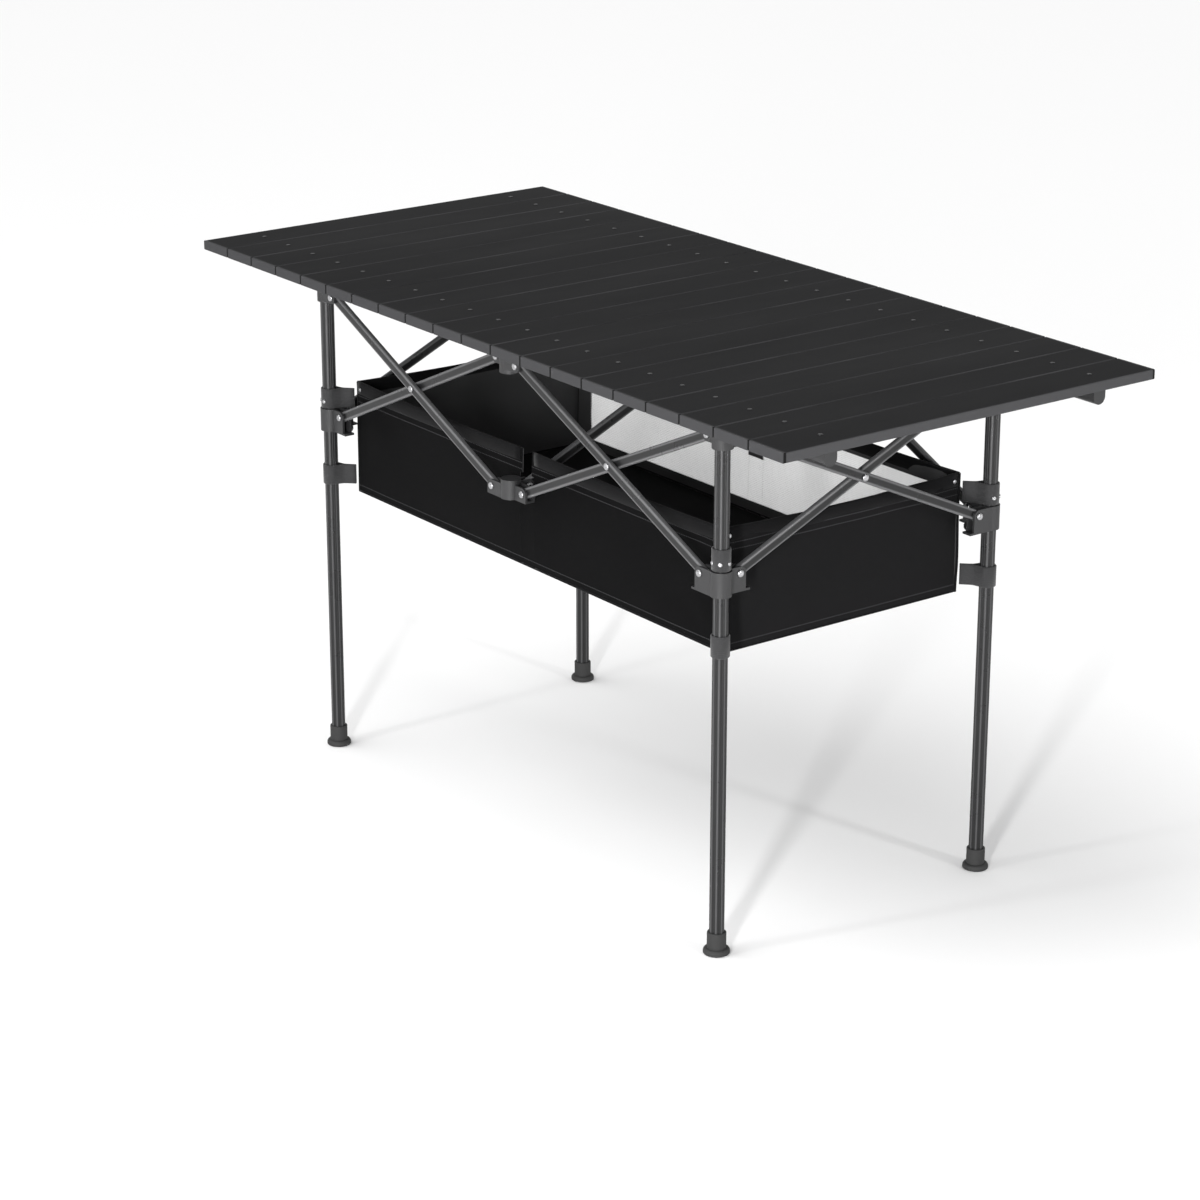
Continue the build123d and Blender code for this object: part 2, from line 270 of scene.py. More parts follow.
def metal_paint(name, colour, rough, streaks):
    """Anodised tube: fine draw lines along it, faint handling marks and a satin sheen."""
    paint = Paint(name, colour, rough, metallic=0.2, specular=0.35)
    marks = paint.noise(26, detail=5)
    lines = paint.noise(1, streaks, detail=2)
    paint.worn = paint.vary_colour(marks, 0.94, 1.06)
    paint.vary_rough(marks, 0.05)
    paint.bump(lines, 0.00006, 0.35)
    return paint


def leg_paint():
    """The ridges between a leg's flutes are painted lighter than the flutes, as painted highlights.
    """
    paint = metal_paint("anodised_tube", ANODISED, 0.3, (2200, 2200, 6))
    around = []
    for name, centre in (("Y", LEG_Y), ("X", LEG_X)):
        off_centre = paint.math("SUBTRACT", paint.math("ABSOLUTE", paint.axis(name)), centre)
        around.append(off_centre)
    turn = paint.math("MULTIPLY", paint.math("ARCTAN2", *around), LEG_FLUTES)
    # painted highlight: a lighter colour on the ridges between the flutes
    ridge_highlight = paint.mapped(paint.math("COSINE", turn), 0, 1, 0.35, 0.95)
    result = paint.mixed(ridge_highlight, paint.worn, (0.062, 0.062, 0.064))
    paint.feed("Base Color", result)
    return paint.material


def bar_paint(name, first, second, normal):
    """A scissor bar: its two long edges are painted lighter than the flat between them, as painted
    highlights.
    """
    paint = metal_paint(name, ANODISED, 0.3, (40, 40, 2200))
    across = normal.cross((second - first).normalized())
    dot = paint.nodes.new("ShaderNodeVectorMath")
    dot.operation = "DOT_PRODUCT"
    paint.links.new(paint.place, dot.inputs[0])
    dot.inputs[1].default_value = across
    off_line = paint.math("SUBTRACT", dot.outputs["Value"], first.dot(across))
    off_line = paint.math("ABSOLUTE", off_line)
    # painted highlight along the bar's two long edges
    edge_highlight = paint.mapped(off_line, 0, 1, BAR_EDGE_FROM, BAR_EDGE_TO)
    result = paint.mixed(edge_highlight, paint.worn, (0.11, 0.11, 0.113))
    paint.feed("Base Color", result)
    return paint.material


def slat_paint():
    """Black powder coat with fine grain, painted highlights along the seams and a painted lighter
    right end face; the moulded end caps are greyer and stop at a line, with painted shade at the
    gaps between them.
    """
    paint = Paint("slat_powder_coat", (0.019, 0.019, 0.02), 0.6, specular=0.06)
    grain = paint.noise(1500, detail=2)
    cloud = paint.noise(5, (1, 0.35, 1), detail=4)
    draw = paint.noise(1, (900, 12, 900), detail=2)
    body = paint.mixed(cloud, (0.0058, 0.0058, 0.0063), (0.0092, 0.0092, 0.0098))
    reach = paint.math("ABSOLUTE", paint.axis("Y"))
    is_cap = paint.math("GREATER_THAN", reach, SLAT_END_Y - SLAT_CAP)
    # 40 whole slats are added so that FRACT sees no negative number; it is 0.5 at each seam
    slats = paint.math("ADD", paint.math("DIVIDE", paint.axis("X"), SLAT_PITCH), 40.5)
    to_seam = paint.math("ABSOLUTE", paint.math("SUBTRACT", paint.math("FRACT", slats), 0.5))
    # painted highlight: a lighter, streaky line along each seam of the top
    seam_highlight = paint.math("LESS_THAN", to_seam, SEAM_HIGHLIGHT_SHARE)
    # painted shade: a dark line on the end caps at each gap between slats
    cap_seam_shade = paint.math("LESS_THAN", to_seam, CAP_SHADE_SHARE)
    # painted light: the right end face of the top is lighter than the top
    lit_end_face = paint.math("GREATER_THAN", paint.axis("X"), END_X - 0.0006)
    highlight_streaks = paint.mapped(paint.noise(11, (1, 0.4, 1), detail=4), 0.15, 0.8)
    top = paint.mixed(paint.math("MULTIPLY", seam_highlight, highlight_streaks), body, (0.062, 0.062, 0.065))
    top = paint.mixed(lit_end_face, top, (0.05, 0.05, 0.052))
    cap = paint.mixed(cap_seam_shade, (0.042, 0.042, 0.044), (0.008, 0.008, 0.008))
    paint.feed("Base Color", paint.mixed(is_cap, top, cap))
    paint.vary_rough(cloud, 0.06)
    paint.bump(draw, 0.00008, 0.25)
    paint.bump(grain, 0.00012, 0.35)
    return paint.material


def plastic_paint(name, colour, rough):
    """Glass-filled nylon: a fine moulded grain with soft mottling."""
    paint = Paint(name, colour, rough, specular=0.4)
    mottle = paint.noise(60, detail=4)
    grain = paint.noise(1300, detail=2)
    paint.vary_colour(mottle, 0.82, 1.18)
    paint.vary_rough(mottle, 0.07)
    paint.bump(grain, 0.00015, 0.4)
    return paint.material


def fabric_paint(name, colour, pitch, first, second, sheen=0.02, stitched=False):
    """Coated canvas: a plain weave at thread size, with slow changes where it was handled."""
    paint = Paint(name, colour, 0.85, specular=0.03, Sheen_Weight=sheen, Sheen_Roughness=0.5)
    threads = paint.weave(pitch, first, second)
    cloud = paint.noise(9, detail=4)
    mottled = paint.vary_colour(cloud, 0.85, 1.2)
    shaded = paint.mixed(threads, tuple(c * 0.8 for c in colour), mottled)
    if stitched:
        facing = "Y" if first == "X" else "X"
        # painted light: the inner faces get the lighter lining colour, which lifts them out of the
        # basket's shade
        shaded = paint.mixed(paint.inward(facing), shaded, LIT_LINING)
        for row in STITCH_ROWS:
            off = paint.math("ABSOLUTE", paint.math("SUBTRACT", paint.axis("Z"), row))
            on_row = paint.math("LESS_THAN", off, STITCH_HALF)
            turns = paint.math("MULTIPLY", paint.axis(first), 2 * math.pi / STITCH_PITCH)
            on_stitch = paint.math("GREATER_THAN", paint.math("SINE", turns), -0.4)
            stitch = paint.math("MULTIPLY", on_row, on_stitch)
            shaded = paint.mixed(stitch, shaded, (0.045, 0.045, 0.047))
    paint.feed("Base Color", shaded)
    paint.vary_rough(cloud, 0.06)
    paint.bump(threads, 0.00018, 0.5)
    return paint.material


def mesh_paint():
    """Light knitted mesh: rows and columns of threads with small darker holes between them."""
    paint = Paint("mesh_light", (0.93, 0.93, 0.93), 0.85, specular=0.2)
    holes = []
    for name in ("X", "Z"):
        turns = paint.math("MULTIPLY", paint.axis(name), 2 * math.pi / 0.0024)
        holes.append(paint.mapped(paint.math("SINE", turns), 0, 1, -1, 1))
    hole = paint.math("MULTIPLY", *holes)
    shade = paint.mapped(hole, 0, 1, 0.25, 0.95)
    cloud = paint.noise(14, detail=3)
    thread = paint.mixed(cloud, (0.92, 0.92, 0.92), (0.96, 0.96, 0.96))
    result = paint.mixed(shade, thread, (0.66, 0.66, 0.67))
    paint.feed("Base Color", result)
    paint.feed("Alpha", paint.mapped(hole, 0.5, 0.1, 0.15, 0.75))
    paint.bump(shade, 0.0003, 0.6)
    return paint.material


def webbing_paint():
    """Woven webbing: ribs across the strap."""
    paint = Paint("webbing_black", (0.024, 0.024, 0.025), 0.75, specular=0.25, Sheen_Weight=0.2)
    turns = paint.math("MULTIPLY", paint.axis("Z"), 2 * math.pi / 0.0022)
    ribs = paint.mapped(paint.math("SINE", turns), 0, 1, -1, 1)
    cloud = paint.noise(120, detail=3)
    paint.vary_colour(cloud, 0.75, 1.3)
    paint.vary_rough(cloud, 0.08)
    paint.bump(ribs, 0.0003, 0.5)
    return paint.material


def rivet_paint(name, colour):
    paint = Paint(name, colour, 0.3, metallic=1.0)
    scuffs = paint.noise(420, detail=4)
    paint.vary_colour(scuffs, 0.82, 1.08)
    paint.vary_rough(scuffs, 0.1)
    paint.bump(scuffs, 0.0001, 0.25)
    return paint.material


def rubber_paint():
    paint = Paint("foot_rubber_black", (0.022, 0.022, 0.022), 0.7, specular=0.35)
    dust = paint.noise(70, detail=5)
    pores = paint.noise(1700, detail=2)
    paint.vary_colour(dust, 0.8, 1.35)
    paint.vary_rough(dust, 0.08)
    paint.bump(pores, 0.0002, 0.4)
    return paint.material


def bar_paints():
    """One paint for each bar, because its edges follow the bar's own line."""
    paints = {}
    tops, lows = Vector((0, 0, TOP_PIVOT_Z)), Vector((0, 0, LOW_PIVOT_Z))
    for pair, (left, right, normal) in PAIRS.items():
        along = (STATIONS[right] - STATIONS[left]).normalized() * PIVOT_OUT
        left_end, right_end = STATIONS[left] + along, STATIONS[right] - along
        for lean, first, second in (
            ("down", left_end + tops, right_end + lows), ("up", left_end + lows, right_end + tops)
        ):
            name = f"bar_{pair}_{lean}"
            paints[name] = bar_paint(f"anodised_{name}", first, second, normal)
    return paints


TUBE = leg_paint()
RAIL = metal_paint("anodised_rail", (0.03, 0.03, 0.031), 0.4, (6, 2200, 2200)).material
BARS = bar_paints()
SLAT = slat_paint()
HUB = plastic_paint("moulded_nylon", (0.024, 0.024, 0.025), 0.5)
RUBBER = rubber_paint()
# One black canvas in two copies: the long walls' copy is painted darker as shade, and the end
# walls' copy lighter as light.
CANVAS_LONG_SHADED = fabric_paint(
    "canvas_long_shaded", (0.0027, 0.0027, 0.0029), CANVAS_PITCH, "X", "Z", stitched=True)
CANVAS_SHORT_LIT = fabric_paint(
    "canvas_short_lit", (0.0085, 0.0085, 0.0089), CANVAS_PITCH, "Y", "Z", stitched=True)
CANVAS_FLOOR = fabric_paint("canvas_floor", (0.0085, 0.0085, 0.009), CANVAS_PITCH, "X", "Y")
BINDING = fabric_paint("binding_tape", (0.0058, 0.0058, 0.0062), 0.0016, "Z", "X", sheen=0.05)
MESH = mesh_paint()
WEBBING = webbing_paint()
ZINC = rivet_paint("zinc_rivet", (0.46, 0.46, 0.47))
DARK_ZINC = rivet_paint("dark_rivet", (0.05, 0.05, 0.052))

LOOKS = {
    "leg_cap": HUB, "slider": HUB, "upper_hub": HUB, "lower_hub": HUB,
    "leg_": TUBE, "rail": RAIL, "slats": SLAT, "foot": RUBBER, "basket": CANVAS_LONG_SHADED,
}
for name, node in NODES.items():
    look = BARS.get(name) or next(LOOKS[start] for start in LOOKS if name.startswith(start))
    for material_slot in node.material_slots:
        material_slot.material = look


# ---- mesh helpers ----
def new_piece(name, points, faces, look, smooth=True):
    mesh = bpy.data.meshes.new(name)
    mesh.from_pydata([tuple(p) for p in points], [], faces)
    mesh.validate()
    mesh.update()
    piece = bpy.data.objects.new(name, mesh)
    bpy.context.scene.collection.objects.link(piece)
    mesh.materials.append(look)
    for polygon in mesh.polygons:
        polygon.use_smooth = smooth
    return piece


def applied(piece):
    """The piece with its modifiers worked into its mesh."""
    bpy.context.view_layer.update()
    depsgraph = bpy.context.evaluated_depsgraph_get()
    mesh = bpy.data.meshes.new_from_object(piece.evaluated_get(depsgraph))
    piece.modifiers.clear()
    piece.data = mesh
    return piece


def steps(low, high, count, extra=()):
    """Evenly spaced values with some exact ones among them, and no even one close to those."""
    even = [low + (high - low) * k / count for k in range(count + 1)]
    gap = (high - low) / count * 0.4
    kept = [v for v in even if all(abs(v - e) > gap for e in extra) or v in (low, high)]
    return sorted(kept + list(extra))


def cloth(name, place, us, vs, thick, look, left_out=None):
    """A sheet through place(u, v), with real thickness and closed edges."""
    points = [place(u, v) for v in vs for u in us]
    faces, wide = [], len(us)
    for j in range(len(vs) - 1):
        for i in range(wide - 1):
            if left_out and left_out((us[i] + us[i + 1]) / 2, (vs[j] + vs[j + 1]) / 2):
                continue
            a = j * wide + i
            faces.append((a, a + 1, a + wide + 1, a + wide))
    used = sorted({k for face in faces for k in face})
    renumber = {old: new for new, old in enumerate(used)}
    points = [points[k] for k in used]
    faces = [tuple(renumber[k] for k in face) for face in faces]
    piece = new_piece(name, points, faces, look)
    shell = piece.modifiers.new("shell", "SOLIDIFY")
    shell.thickness = thick
    shell.offset = 0
    piece = applied(piece)
    piece.data.set_sharp_from_angle(angle=SHARP_FROM)
    return piece


def swept(name, centres, sides, ups, profile, look):
    """A closed profile of (side, up) offsets carried along centres, with both ends closed."""
    points, faces, n = [], [], len(profile)
    for centre, side, up in zip(centres, sides, ups):
        points += [centre + side * a + up * b for a, b in profile]
    for k in range(len(centres) - 1):
        for i in range(n):
            j = (i + 1) % n
            faces.append((k * n + i, k * n + j, (k + 1) * n + j, (k + 1) * n + i))
    faces.append(tuple(reversed(range(n))))
    faces.append(tuple((len(centres) - 1) * n + i for i in range(n)))
    return new_piece(name, points, faces, look)


DOME_SIDES = 20
# (share of the radius, share of the height) of each ring, from the foot to the centre dimple
DOME_RINGS = [
    (1.0, 0.0), (1.0, 0.35), (0.93, 0.68), (0.76, 0.9), (0.5, 1.0), (0.3, 1.0), (0.2, 0.9)
]


def domes(name, spots, look):
    """Rivet heads, one for each (centre, outward direction, radius, height) in spots."""
    points, faces = [], []
    for centre, out, radius, tall in spots:
        out = out.normalized()
        side = out.orthogonal().normalized()
        other = out.cross(side)
        start = len(points)
        for share, lift in DOME_RINGS:
            for k in range(DOME_SIDES):
                turn = 2 * math.pi * k / DOME_SIDES
                along = side * math.cos(turn) + other * math.sin(turn)
                points.append(centre + along * (radius * share) + out * (tall * lift))
        for r in range(len(DOME_RINGS) - 1):
            for k in range(DOME_SIDES):
                a = start + r * DOME_SIDES + k
                b = start + r * DOME_SIDES + (k + 1) % DOME_SIDES
                faces.append((a, b, b + DOME_SIDES, a + DOME_SIDES))
        last = start + (len(DOME_RINGS) - 1) * DOME_SIDES
        faces.append(tuple(last + k for k in range(DOME_SIDES)))
        faces.append(tuple(start + k for k in reversed(range(DOME_SIDES))))
    return new_piece(name, points, faces, look)


# ---- rivet heads ----
def hub_body(station, upper):
    if station in CORNERS:
        return ("leg_" if upper else "slider_") + station
    return ("upper_hub_" if upper else "lower_hub_") + station


def frame_rivets():
    """Two heads on each socket and on each crossing, grouped by the body that carries them."""
    spots = {}
    for pair, (left, right, normal) in PAIRS.items():
        across = (STATIONS[right] - STATIONS[left]).normalized()
        for station, inward, upper_side in ((left, across, 1), (right, -across, -1)):
            for upper in (True, False):
                side = upper_side if upper else -upper_side
                height = TOP_PIVOT_Z if upper else LOW_PIVOT_Z
                middle = STATIONS[station] + inward * PIVOT_OUT + Vector((0, 0, height))
                middle += normal * (side * BAR_OFFSET)
                for out in (-normal, normal):
                    spot = (middle + out * SOCKET_FACE, out, HEAD_R, HEAD_TALL)
                    spots.setdefault(hub_body(station, upper), []).append(spot)
        middle = (STATIONS[left] + STATIONS[right]) / 2
        middle += Vector((0, 0, (TOP_PIVOT_Z + LOW_PIVOT_Z) / 2))
        for out in (-normal, normal):
            spot = (middle + out * CROSS_FACE, out, HEAD_R, HEAD_TALL)
            spots.setdefault(f"bar_{pair}_down", []).append(spot)
    return spots


def slat_rivets(node):
    """The heads on one group of slats, in two rows over the rails."""
    low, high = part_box(node)
    found = []
    for k in range(round((high.x - low.x) / SLAT_PITCH)):
        x = (low.x + high.x) / 2 + (k - 0.5) * SLAT_PITCH
        for side in (-1, 1):
            centre = Vector((x, side * RAIL_Y, SLAT_HEAD_Z))
            found.append((centre, Z_AXIS, SLAT_HEAD_R, SLAT_HEAD_TALL))
    return found


for body, spots in frame_rivets().items():
    heads = domes(f"rivets_{body}", spots, ZINC)
    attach(heads, body)

for group in range(1, 11):
    node = f"slats_{group:02d}"
    heads = domes(f"slat_rivets_{group:02d}", slat_rivets(node), DARK_ZINC)
    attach(heads, "table_top" if group == 10 else node)


# ---- basket ----
def tension(s, t, seed):
    """Small folds that fan out of the four tied corners of a wall, and a slow unevenness."""
    total = 0.0
    for cs, ct in ((0, 0), (1, 0), (0, 1), (1, 1)):
        ds, dt = abs(s - cs) * 4, abs(t - ct)
        away = math.hypot(ds, dt)
        angle = math.atan2(dt, ds + 1e-6)
        total += math.exp(-away * 1.6) * math.sin(angle * 7 + seed) * min(1, away * 3)
    slow = noise.noise(Vector((s * 6, t * 2.2, seed * 3.7)))
    return (FOLD_TALL * total + WAVE_TALL * slow) * min(1, 5 * t)


def rim_sag(s):
    """The rim hangs from its corners and from the middle hub."""
    return LONG_SAG * math.sin(math.pi * (2 * s % 1)) if 0 < s < 1 else 0.0


def long_wall(side):
    """The front wall (-1) or the back wall (1), as a function from x and z to a place."""
    y = side * (BASKET_Y - WALL_IN)

    def place(x, z):
        s = (x + BASKET_X) / (2 * BASKET_X)
        t = (z - FLOOR_Z) / (RIM_Z - FLOOR_Z)
        bow = LONG_BOW * math.sin(math.pi * s) * math.sin(math.pi * t)
        drop = rim_sag(s) * t ** 2
        pull = 1 if abs(x) > NOTCH_NECK else 0.2
        return Vector((x, y + side * (bow + pull * tension(s, t, 1.7 + side)), z - drop))

    return place


def short_wall(side):
    """The left wall (-1) or the right wall (1), as a function from y and z to a place."""
    x = side * (BASKET_X - WALL_IN)

    def place(y, z):
        s = (y + BASKET_Y) / (2 * BASKET_Y)
        t = (z - FLOOR_Z) / (RIM_Z - FLOOR_Z)
        bow = SHORT_BOW * math.sin(math.pi * s) * math.sin(math.pi * t)
        drop = SHORT_SAG * math.sin(math.pi * s) * t ** 2
        return Vector((x + side * (bow + tension(s, t, 5.1 + side)), y, z - drop))

    return place


def in_notch(x, z):
    return abs(x) < (NOTCH_NECK if z > NECK_Z else NOTCH_HALF) and z > NOTCH_Z


TAPE = [
    (-0.0016, -0.016), (-0.0017, -0.002), (-0.0009, 0.0006), (0.0009, 0.0006),
    (0.0017, -0.002), (0.0016, -0.016), (0.0007, -0.0165), (-0.0007, -0.0165),
]
CORD_R = 0.0017
CORD = [(CORD_R * math.cos(k * math.pi / 5), CORD_R * math.sin(k * math.pi / 5)) for k in range(10)]


def edging(name, place, us, z, profile, side):
    """Tape or piping along a wall at one height."""
    centres = [place(u, z) for u in us]
    return swept(name, centres, [side] * len(us), [Z_AXIS] * len(us), profile, BINDING)


def hang_long(piece, word, part):
    """Each half of a long wall moves with the slider at its own corner; the middle stays with its
    hub.
    """
    if part == "middle":
        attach(piece, f"lower_hub_{word}_middle")
    else:
        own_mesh(piece)
        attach(piece, f"slider_{word}_{part}")


def hang_short(piece, word):
    """An end wall moves with the slider at its front corner."""
    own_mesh(piece)
    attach(piece, f"slider_front_{word}")


NOTCH_AREA = 2 * NOTCH_HALF * (NECK_Z - NOTCH_Z) + 2 * NOTCH_NECK * (RIM_Z - NECK_Z)
PARTS = {
    "left": (-BASKET_X, -NOTCH_HALF),
    "middle": (-NOTCH_HALF, NOTCH_HALF),
    "right": (NOTCH_HALF, BASKET_X),
}
PART_STEPS = {"left": 32, "middle": 4, "right": 32}


def part_area(part):
    low_x, high_x = PARTS[part]
    full = (high_x - low_x) * (RIM_Z - FLOOR_Z)
    return full - NOTCH_AREA if part == "middle" else full


def corner_piping(name, place, x):
    heights = steps(FLOOR_Z, RIM_Z - 0.001, 14)
    centres = [place(x, z) for z in heights]
    sides, ups = [X_AXIS] * len(heights), [Y_AXIS] * len(heights)
    return swept(name, centres, sides, ups, CORD, BINDING)


def long_trims(word, part, place, us):
    """Piping along the foot and, on the two halves, tape on the rim and piping up the corner."""
    trims = [edging(f"basket_{word}_foot_piping_{part}", place, us, PIPING_Z, CORD, Y_AXIS)]
    if part != "middle":
        corner_x = PARTS[part][0 if part == "left" else 1]
        trims.append(edging(f"basket_{word}_rim_{part}", place, us, RIM_Z, TAPE, Y_AXIS))
        trims.append(corner_piping(f"basket_{word}_corner_{part}", place, corner_x))
    return trims


def long_wall_part(word, part, place):
    low_x, high_x = PARTS[part]
    inner = (-NOTCH_NECK, NOTCH_NECK) if part == "middle" else ()
    us = steps(low_x, high_x, PART_STEPS[part], inner)
    vs = steps(FLOOR_Z, RIM_Z, WALL_STEPS, (NOTCH_Z, NECK_Z))
    look = MESH if word == "back" else CANVAS_LONG_SHADED
    wall = cloth(f"basket_{word}_wall_{part}", place, us, vs, CLOTH, look, in_notch)
    hang_long(wall, word, part)
    if part == "left":
        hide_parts(f"basket_{word}")
    trims = long_trims(word, part, place, us)
    for trim in trims:
        hang_long(trim, word, part)
    part_area(part)


def short_wall_pieces(word, side):
    place = short_wall(side)
    reach = BASKET_Y - WALL_ROOM
    us = steps(-reach, reach, 36)
    vs = steps(FLOOR_Z, RIM_Z, WALL_STEPS)
    wall = cloth(f"basket_{word}_wall", place, us, vs, CLOTH, CANVAS_SHORT_LIT)
    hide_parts(f"basket_{word}")
    rim = edging(f"basket_{word}_rim", place, us, RIM_Z, TAPE, X_AXIS)
    foot = edging(f"basket_{word}_foot_piping", place, us, PIPING_Z, CORD, X_AXIS)
    for piece in (wall, rim, foot):
        hang_short(piece, word)


for word, side in (("front", -1), ("back", 1)):
    for part in PARTS:
        long_wall_part(word, part, long_wall(side))
for word, side in (("left", -1), ("right", 1)):
    short_wall_pieces(word, side)

# The black border round the mesh of the back wall: its part of the wall, then its x and z limits.
BORDER_THICK = 0.0024
BORDER_SIDE = 0.030
BORDER_RIM_Z = RIM_Z - 0.0005
BORDER_TOP_Z = RIM_Z - 0.022
BORDER_FOOT_Z = FLOOR_Z + 0.014
BORDERS = {
    "top_left": ("left", -BASKET_X, -NOTCH_HALF, BORDER_TOP_Z, BORDER_RIM_Z),
    "top_middle": ("middle", -NOTCH_HALF, NOTCH_HALF, NOTCH_Z - 0.012, NOTCH_Z),
    "top_right": ("right", NOTCH_HALF, BASKET_X, BORDER_TOP_Z, BORDER_RIM_Z),
    "bottom_left": ("left", -BASKET_X, -NOTCH_HALF, FLOOR_Z, BORDER_FOOT_Z),
    "bottom_middle": ("middle", -NOTCH_HALF, NOTCH_HALF, FLOOR_Z, BORDER_FOOT_Z),
    "bottom_right": ("right", NOTCH_HALF, BASKET_X, FLOOR_Z, BORDER_FOOT_Z),
    "left": ("left", -BASKET_X, -BASKET_X + BORDER_SIDE, BORDER_FOOT_Z, BORDER_TOP_Z),
    "right": ("right", BASKET_X - BORDER_SIDE, BASKET_X, BORDER_FOOT_Z, BORDER_TOP_Z),
}
for name, (part, low_x, high_x, low_z, high_z) in BORDERS.items():
    across = 4 if high_x - low_x < 2 * BORDER_SIDE else 32
    up = 14 if name in ("left", "right") else 3
    border = cloth(f"basket_back_border_{name}", long_wall(1), steps(low_x, high_x, across),
                   steps(low_z, high_z, up), BORDER_THICK, CANVAS_LONG_SHADED)
    hang_long(border, "back", part)


def floor_place(x, y):
    s, t = (x + BASKET_X) / (2 * BASKET_X), (y + BASKET_Y) / (2 * BASKET_Y)
    off_crease = abs(math.sin(2 * math.pi * t))
    sag = FLOOR_SAG * math.sin(math.pi * s) * off_crease
    slow = abs(noise.noise(Vector((s * 7, t * 3.5, 4.2)))) * off_crease
    return Vector((x, y, FLOOR_Z - CLOTH / 2 - sag - FLOOR_WAVE * slow))


reach_x, reach_y = BASKET_X - FLOOR_ROOM, BASKET_Y - FLOOR_ROOM
FLOORS = {
    "basket_floor_front": (-reach_y, -FLOOR_CREASE),
    "basket_floor_back": (FLOOR_CREASE, reach_y),
}
for node, (low_y, high_y) in FLOORS.items():
    ground = cloth(f"{node}_cloth", floor_place, steps(-reach_x, reach_x, 48),
                   steps(low_y, high_y, 14), CLOTH, CANVAS_FLOOR)
    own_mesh(ground)
    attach(ground, node)
    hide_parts(node)


# ---- webbing loops round the legs ----
STRAP_WIDE = 0.026
STRAP_HALF = 0.0008
STRAP_ROUND = 0.0006
STRAP_FLAT = 0.0003
LOOP_R = 0.0104
SNAP_TURNS = (-62, 0, 62)
SNAP_OUT = LOOP_R + 0.0006
SNAP_UP = 0.009
SNAP_R, SNAP_TALL = 0.0026, 0.0014
SCREW_IN, SCREW_DOWN = 0.008, 0.010
SCREW_OUT = 0.0002
SCREW_R, SCREW_TALL = 0.0028, 0.0012


def loop_path():
    """Half a strap's line in plan, from the basket's corner to the far side of the leg."""
    line = [(0.033, 0.0011), (0.027, 0.0011), (0.021, 0.0012), (0.0165, 0.0017), (0.0135, 0.0034)]
    for k in range(11):
        turn = math.radians(40 + 14 * k)
        line.append((LOOP_R * math.cos(turn), LOOP_R * math.sin(turn)))
    return line


HALF_LOOP = loop_path()
LOOP = HALF_LOOP + [(a, -b) for a, b in reversed(HALF_LOOP[:-1])]
STRAP_SECTION = [
    (-STRAP_HALF, STRAP_ROUND), (-STRAP_HALF, STRAP_WIDE - STRAP_ROUND),
    (-STRAP_FLAT, STRAP_WIDE), (STRAP_FLAT, STRAP_WIDE),
    (STRAP_HALF, STRAP_WIDE - STRAP_ROUND), (STRAP_HALF, STRAP_ROUND),
    (STRAP_FLAT, 0.0), (-STRAP_FLAT, 0.0),
]


def strap_band(name, centre, inward, bottom):
    """One loop of webbing round a leg, with its two ends side by side at the basket's corner."""
    across = Z_AXIS.cross(inward)
    line = [centre + inward * a + across * b for a, b in LOOP]
    sides = []
    for k in range(len(line)):
        ahead = line[min(k + 1, len(line) - 1)] - line[max(k - 1, 0)]
        sides.append(Z_AXIS.cross(ahead).normalized())
    lifted = [point + Z_AXIS * bottom for point in line]
    return swept(name, lifted, sides, [Z_AXIS] * len(line), STRAP_SECTION, WEBBING)


def snap_spots(centre, inward, bottom):
    """Three snaps round the outer side of an upper loop."""
    found = []
    for degrees in SNAP_TURNS:
        out = Matrix.Rotation(math.radians(degrees), 3, "Z") @ -inward
        spot = centre + out * SNAP_OUT + Z_AXIS * (bottom + SNAP_UP)
        found.append((spot, out, SNAP_R, SNAP_TALL))
    return found


def screw_spots(centre):
    """Two small screws through the basket's top corner, one in each wall."""
    found = []
    for axis, other, wall, far in (
        (X_AXIS, Y_AXIS, BASKET_X, BASKET_Y), (Y_AXIS, X_AXIS, BASKET_Y, BASKET_X)
    ):
        out = axis * math.copysign(1, centre.dot(axis))
        along = other * math.copysign(1, centre.dot(other))
        spot = out * (wall + SCREW_OUT) + along * (far - SCREW_IN) + Z_AXIS * (RIM_Z - SCREW_DOWN)
        found.append((spot, out, SCREW_R, SCREW_TALL))
    return found


def on_slider(piece, corner):
    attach(piece, f"slider_{corner}")


for corner in CORNERS:
    centre = STATIONS[corner]
    inward = Vector((-math.copysign(1, centre.x), -math.copysign(1, centre.y), 0)).normalized()
    low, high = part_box(f"basket_straps_{corner}")
    upper_z = high.z - STRAP_WIDE
    upper = strap_band(f"strap_upper_{corner}", centre, inward, upper_z)
    on_slider(upper, corner)
    spots = snap_spots(centre, inward, upper_z) + screw_spots(centre)
    on_slider(domes(f"snaps_{corner}", spots, ZINC), corner)
    lower = strap_band(f"strap_lower_{corner}", centre, inward, low.z)
    on_slider(lower, corner)
    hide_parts(f"basket_straps_{corner}")


# ---- stage, light and camera ----
FLOOR_HALF = 30.0
FLOOR_DOWN = 0.0006
SKY_LIGHT = 0.64


def plain(name, colour, rough):
    """A matt surface, even but for a very faint change."""
    paint = Paint(name, colour, rough, specular=0.1)
    paint.vary_colour(paint.noise(0.6), 0.995, 1.005)
    return paint.material


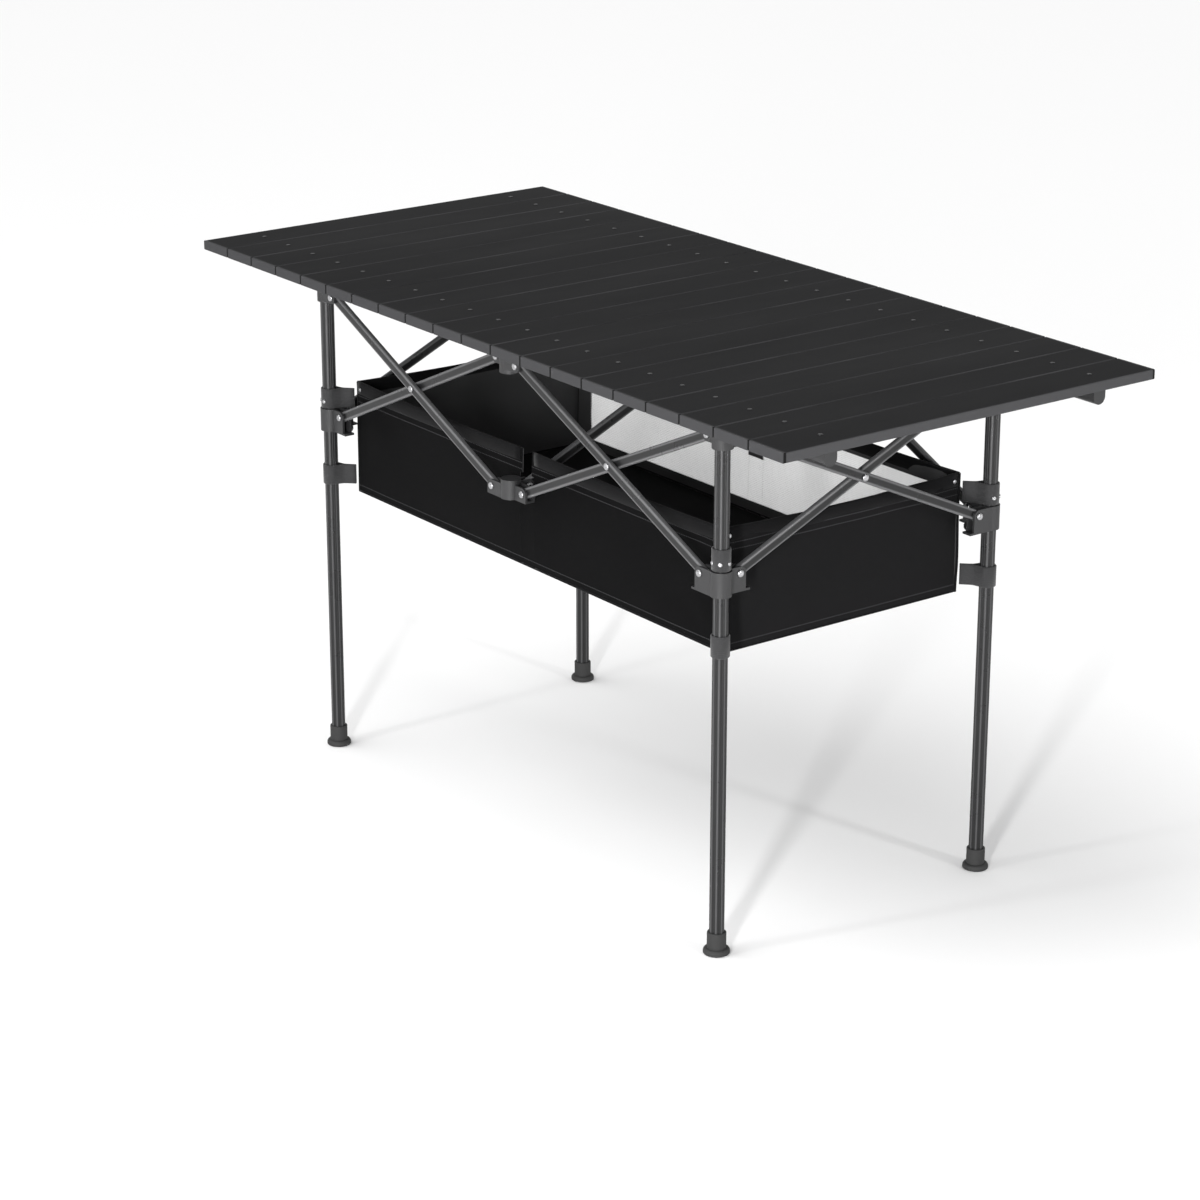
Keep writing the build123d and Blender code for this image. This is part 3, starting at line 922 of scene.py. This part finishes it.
outline = [(x * FLOOR_HALF, y * FLOOR_HALF, 0) for x, y in ((-1, -1), (1, -1), (1, 1), (-1, 1))]
floor_look = plain("floor_pale", (0.9, 0.9, 0.9), 0.9)
floor = new_piece("floor", outline, [(0, 1, 2, 3)], floor_look, smooth=False)
floor.location.z = -FLOOR_DOWN

world = bpy.data.worlds.new("studio")
bpy.context.scene.world = world
world.use_nodes = True
sky = world.node_tree.nodes["Background"]
sky.inputs["Color"].default_value = (1, 1, 1, 1)
sky.inputs["Strength"].default_value = SKY_LIGHT


def placed_light(name, kind, at, aim, energy):
    light = bpy.data.lights.new(name, kind)
    light.energy = energy
    item = bpy.data.objects.new(name, light)
    bpy.context.scene.collection.objects.link(item)
    item.location = at
    item.rotation_euler = (Vector(aim) - Vector(at)).to_track_quat("-Z", "Y").to_euler()
    return light


def strip(name, at, aim, size, power):
    light = placed_light(name, "AREA", at, aim, power)
    light.shape = "RECTANGLE"
    light.size, light.size_y = size


sun = placed_light("overhead", "SUN", (-1.5, -2.0, 4.0), (0, 0, 0.3), 1.55)
sun.angle = math.radians(55)
strip("strip_left", (-0.4, -3.6, 1.3), (0, 0, 0.4), (0.25, 2.4), 30)
strip("strip_front", (2.9, -3.5, 1.0), (0, 0, 0.35), (0.3, 2.0), 190)
strip("strip_right", (3.9, 0.9, 1.3), (0, 0, 0.4), (0.3, 2.4), 45)

CAMERA_AT = (3.210, -2.461, 1.708)
PAN, TILT = math.radians(-53.315), math.radians(19.47)
ahead = Vector((math.cos(TILT) * math.sin(PAN), math.cos(TILT) * math.cos(PAN), -math.sin(TILT)))
right = Vector((math.cos(PAN), -math.sin(PAN), 0))
turned = Matrix((right, right.cross(ahead), -ahead)).transposed().to_4x4()
view = bpy.data.cameras.new("camera")
view.lens = 101.28
view.sensor_width = 36
view.clip_end = 100
camera = bpy.data.objects.new("camera", view)
bpy.context.scene.collection.objects.link(camera)
camera.matrix_world = Matrix.Translation(CAMERA_AT) @ turned
bpy.context.scene.camera = camera
bpy.context.scene.view_settings.view_transform = "Standard"
